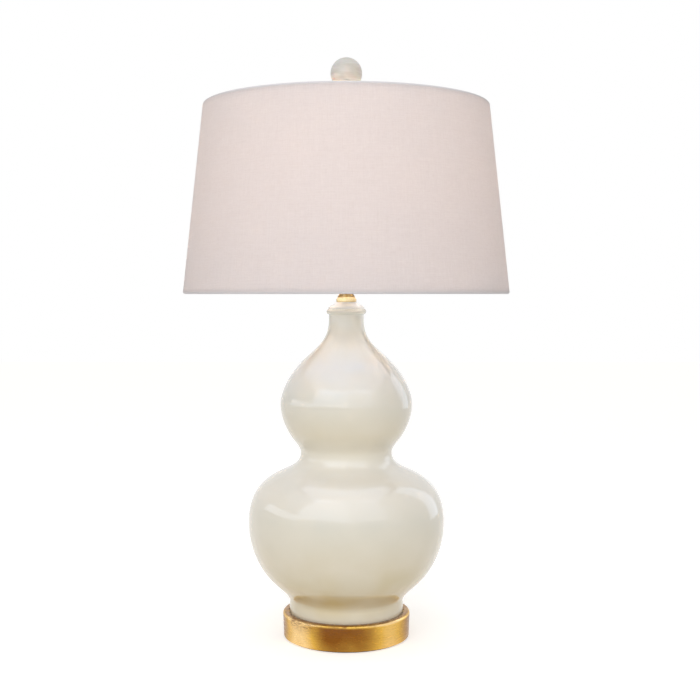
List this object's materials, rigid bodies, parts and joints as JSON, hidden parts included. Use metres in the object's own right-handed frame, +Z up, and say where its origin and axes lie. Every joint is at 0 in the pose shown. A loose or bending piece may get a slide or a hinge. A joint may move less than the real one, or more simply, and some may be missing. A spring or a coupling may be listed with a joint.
{
  "type": "table lamp",
  "caption": "Table lamp with a glazed double gourd body on a round gilt base, a tapered linen drum shade held by a harp, a turn-knob socket and a ball finial.",
  "frame": {"origin": "centre of the base's underside, on the table", "axes": "+Z up along the lamp's axis; the front faces -Y; the switch knob is on the +X side; the cord inlet and the shade's seam are at the back, +Y"},
  "size_m": [0.4064, 0.4068, 0.7275],
  "materials": {
    "felt": "felt",
    "gilt": "gold leaf over turned wood",
    "bushing": "moulded",
    "gasket": "sheet rubber",
    "zinc_steel": "zinc plated",
    "porcelain": "ivory gloss glaze",
    "cap_enamel": "ivory gloss enamel",
    "brass": "polished",
    "harp_brass": "plated wire",
    "socket_brass": "spun shell",
    "lining": "pressed fibre",
    "phenolic": "moulded",
    "contact_brass": "bare",
    "solder": "tinned",
    "bulb_black": "black glass",
    "bulb_base_metal": "rolled thread",
    "frosted_glass": "inside frosted",
    "stem_glass": "clear",
    "linen": "off-white plain weave",
    "liner": "white styrene",
    "ring_wire": "white",
    "ball_stone": "honed"
  },
  "bodies": {
    "stand": {"felt_pad": "felt", "gilt_base": "gilt", "cord_bushing": "bushing", "foot_gasket": "gasket", "lamp_pipe": "zinc_steel", "base_washer": "zinc_steel", "lock_washer": "zinc_steel", "base_nut": "zinc_steel", "gourd_body": "porcelain", "vase_cap": "cap_enamel", "check_ring": "brass", "brass_neck": "brass", "harp_saddle": "harp_brass", "saddle_nut": "brass", "socket_cup": "socket_brass", "set_screw": "brass", "cup_lining": "lining", "socket_shell": "socket_brass", "shell_lining": "lining", "socket_body": "phenolic", "terminal_screws": "contact_brass", "screw_shell": "contact_brass", "centre_contact": "contact_brass"},
    "switch": {"knob_shaft": "contact_brass", "switch_knob": "phenolic"},
    "bulb": {"bulb_tip_contact": "solder", "bulb_insulator": "bulb_black", "bulb_screw_base": "bulb_base_metal", "bulb_glass": "frosted_glass", "bulb_stem": "stem_glass"},
    "harp": {"harp_frame": "harp_brass"},
    "front_ferrule": {"ferrule_front": "brass"},
    "back_ferrule": {"ferrule_back": "brass"},
    "stud": {"harp_stud": "brass"},
    "shade": {"spider_fitter": "harp_brass", "shade_linen": "linen", "shade_liner": "liner", "shade_ring": "ring_wire"},
    "finial": {"finial_base": "brass", "finial_ball": "ball_stone"}
  },
  "joints": [
    {"name": "harp_lift", "type": "slide", "parent": "stand", "child": "harp", "axis": [0, 0, 1], "range_m": [0, 0.15]},
    {"name": "front_ferrule_slide", "type": "slide", "parent": "harp", "child": "front_ferrule", "axis": [0, 0, 1], "range_m": [0, 0.018]},
    {"name": "back_ferrule_slide", "type": "slide", "parent": "harp", "child": "back_ferrule", "axis": [0, 0, 1], "range_m": [0, 0.018]},
    {"name": "stud_swivel", "type": "hinge", "parent": "harp", "child": "stud", "pos_m": [0, 0, 0.6579], "axis": [0, 0, 1], "continuous": true},
    {"name": "shade_turn", "type": "hinge", "parent": "stud", "child": "shade", "pos_m": [0, 0, 0.6599], "axis": [0, 0, 1], "continuous": true},
    {"name": "finial_unscrew", "type": "slide", "parent": "stud", "child": "finial", "axis": [0, 0, 1], "range_m": [0, 0.05]},
    {"name": "switch_turn", "type": "hinge", "parent": "stand", "child": "switch", "pos_m": [0.0202, 0, 0.4781], "axis": [1, 0, 0], "continuous": true},
    {"name": "bulb_unscrew", "type": "slide", "parent": "stand", "child": "bulb", "axis": [0, 0, 1], "range_m": [0, 0.03]}
  ]
}
